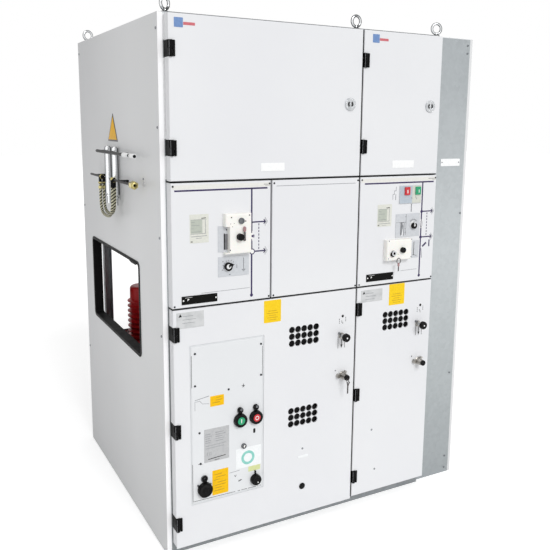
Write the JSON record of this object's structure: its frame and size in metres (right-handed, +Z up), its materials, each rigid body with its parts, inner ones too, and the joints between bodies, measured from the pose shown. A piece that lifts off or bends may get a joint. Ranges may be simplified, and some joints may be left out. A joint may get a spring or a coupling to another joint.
{
  "type": "ring main unit",
  "caption": "Indoor medium-voltage ring main unit: folded sheet-metal cubicle with a breaker bay, a switch bay, hinged doors, vents, side window and side tools.",
  "frame": {"origin": "floor level, centre of the four floor-fixing holes", "axes": "+Z up, -Y out of the front with the doors, +X to the right seen from the front"},
  "size_m": [1.3955, 1.1885, 1.947],
  "materials": {
    "paint": "satin powder coat, light grey",
    "galvanised": "galvanised sheet",
    "black_plastic": "matt black",
    "chrome": "bright",
    "ivory_plastic": "moulded ivory",
    "anodised": "satin anodised",
    "cast_resin": "dark red cast resin",
    "tinned_copper": "bare copper bar",
    "dark_lever": "dark grey enamel",
    "brass": "machined brass",
    "copper_braid": "copper strand in a clear sheath",
    "red_button": "moulded red",
    "green_button": "moulded green"
  },
  "bodies": {
    "cabinet": {"base_frame": "galvanised", "left_side_cover": "paint", "right_side_cover": "paint", "side_window_frame": "black_plastic", "rear_window_frame": "black_plastic", "window_wall": "galvanised", "bay_walls": "galvanised", "frame_members": "galvanised", "rear_window_cover": "paint", "rear_covers": "paint", "roof_plates": "paint", "eye_bolts": "galvanised", "end_front": "galvanised", "deck_plates": "galvanised", "lv_boxes": "paint", "mechanism_boxes": "galvanised", "mimic_cover_left": "paint", "blank_cover": "paint", "mimic_cover_right": "paint", "interlock_boxes": "ivory_plastic", "mimic_plates": "anodised", "mimic_knobs": "black_plastic", "breaker_front": "paint", "breaker_housing": "galvanised", "breaker_chassis": "galvanised", "breaker_poles": "cast_resin", "pole_terminals": "tinned_copper", "breaker_controls": "black_plastic", "frame_hinges": "black_plastic", "tool_hooks": "chrome", "operating_levers": "dark_lever", "bar_nut": "brass", "earthing_lead_inner": "copper_braid", "earthing_lead_outer": "copper_braid"},
    "lv_door_left": {"lv_door_left": "paint", "lv_hinges_left": "black_plastic", "lv_rosette_left": "chrome"},
    "lv_cam_left": {"lv_cam_left": "chrome"},
    "lv_door_right": {"lv_door_right": "paint", "lv_hinges_right": "black_plastic", "lv_rosette_right": "chrome"},
    "lv_cam_right": {"lv_cam_right": "chrome"},
    "lower_door_left": {"lower_door_left": "paint", "lower_hinges_left": "black_plastic", "lower_lock_left": "chrome"},
    "door_knob_left": {"door_knob_left": "black_plastic"},
    "key_rotor_left": {"key_rotor_left": "black_plastic"},
    "lower_door_right": {"lower_door_right": "paint", "lower_hinges_right": "black_plastic", "lower_lock_right": "chrome"},
    "door_knob_right": {"door_knob_right": "black_plastic"},
    "key_rotor_right": {"key_rotor_right": "black_plastic"},
    "on_button": {"on_button": "green_button"},
    "off_button": {"off_button": "red_button"},
    "switch_on_button": {"switch_on_button": "green_button"},
    "switch_off_button": {"switch_off_button": "red_button"}
  },
  "joints": [
    {"name": "lv_door_left_swing", "type": "hinge", "parent": "cabinet", "child": "lv_door_left", "pos_m": [-0.64625, -0.594, 1.61625], "axis": [0, 0, -1], "range_deg": [0, 110]},
    {"name": "lower_door_left_swing", "type": "hinge", "parent": "cabinet", "child": "lower_door_left", "pos_m": [-0.64625, -0.594, 0.486], "axis": [0, 0, -1], "range_deg": [0, 110]},
    {"name": "lv_door_right_swing", "type": "hinge", "parent": "cabinet", "child": "lv_door_right", "pos_m": [0.10375, -0.594, 1.61625], "axis": [0, 0, -1], "range_deg": [0, 110]},
    {"name": "lower_door_right_swing", "type": "hinge", "parent": "cabinet", "child": "lower_door_right", "pos_m": [0.10375, -0.594, 0.486], "axis": [0, 0, -1], "range_deg": [0, 110]},
    {"name": "lv_cam_left_turn", "type": "hinge", "parent": "lv_door_left", "child": "lv_cam_left", "pos_m": [0.04125, -0.592, 1.61625], "axis": [0, -1, 0], "range_deg": [0, 90]},
    {"name": "door_knob_left_turn", "type": "hinge", "parent": "lower_door_left", "child": "door_knob_left", "pos_m": [0.02725, -0.592, 0.74075], "axis": [0, -1, 0], "range_deg": [0, 90]},
    {"name": "key_rotor_left_turn", "type": "hinge", "parent": "lower_door_left", "child": "key_rotor_left", "pos_m": [0.03625, -0.624, 0.57875], "axis": [0, -1, 0], "range_deg": [0, 90]},
    {"name": "lv_cam_right_turn", "type": "hinge", "parent": "lv_door_right", "child": "lv_cam_right", "pos_m": [0.41625, -0.592, 1.61625], "axis": [0, -1, 0], "range_deg": [0, 90]},
    {"name": "door_knob_right_turn", "type": "hinge", "parent": "lower_door_right", "child": "door_knob_right", "pos_m": [0.40225, -0.592, 0.74075], "axis": [0, -1, 0], "range_deg": [0, 90]},
    {"name": "key_rotor_right_turn", "type": "hinge", "parent": "lower_door_right", "child": "key_rotor_right", "pos_m": [0.41125, -0.624, 0.57875], "axis": [0, -1, 0], "range_deg": [0, 90]},
    {"name": "on_button_press", "type": "slide", "parent": "cabinet", "child": "on_button", "axis": [0, 1, 0], "range_m": [0, 0.005], "stiffness_N_per_m": 600},
    {"name": "off_button_press", "type": "slide", "parent": "cabinet", "child": "off_button", "axis": [0, 1, 0], "range_m": [0, 0.005], "stiffness_N_per_m": 600},
    {"name": "switch_on_button_press", "type": "slide", "parent": "cabinet", "child": "switch_on_button", "axis": [0, 1, 0], "range_m": [0, 0.004], "stiffness_N_per_m": 600},
    {"name": "switch_off_button_press", "type": "slide", "parent": "cabinet", "child": "switch_off_button", "axis": [0, 1, 0], "range_m": [0, 0.004], "stiffness_N_per_m": 600}
  ]
}
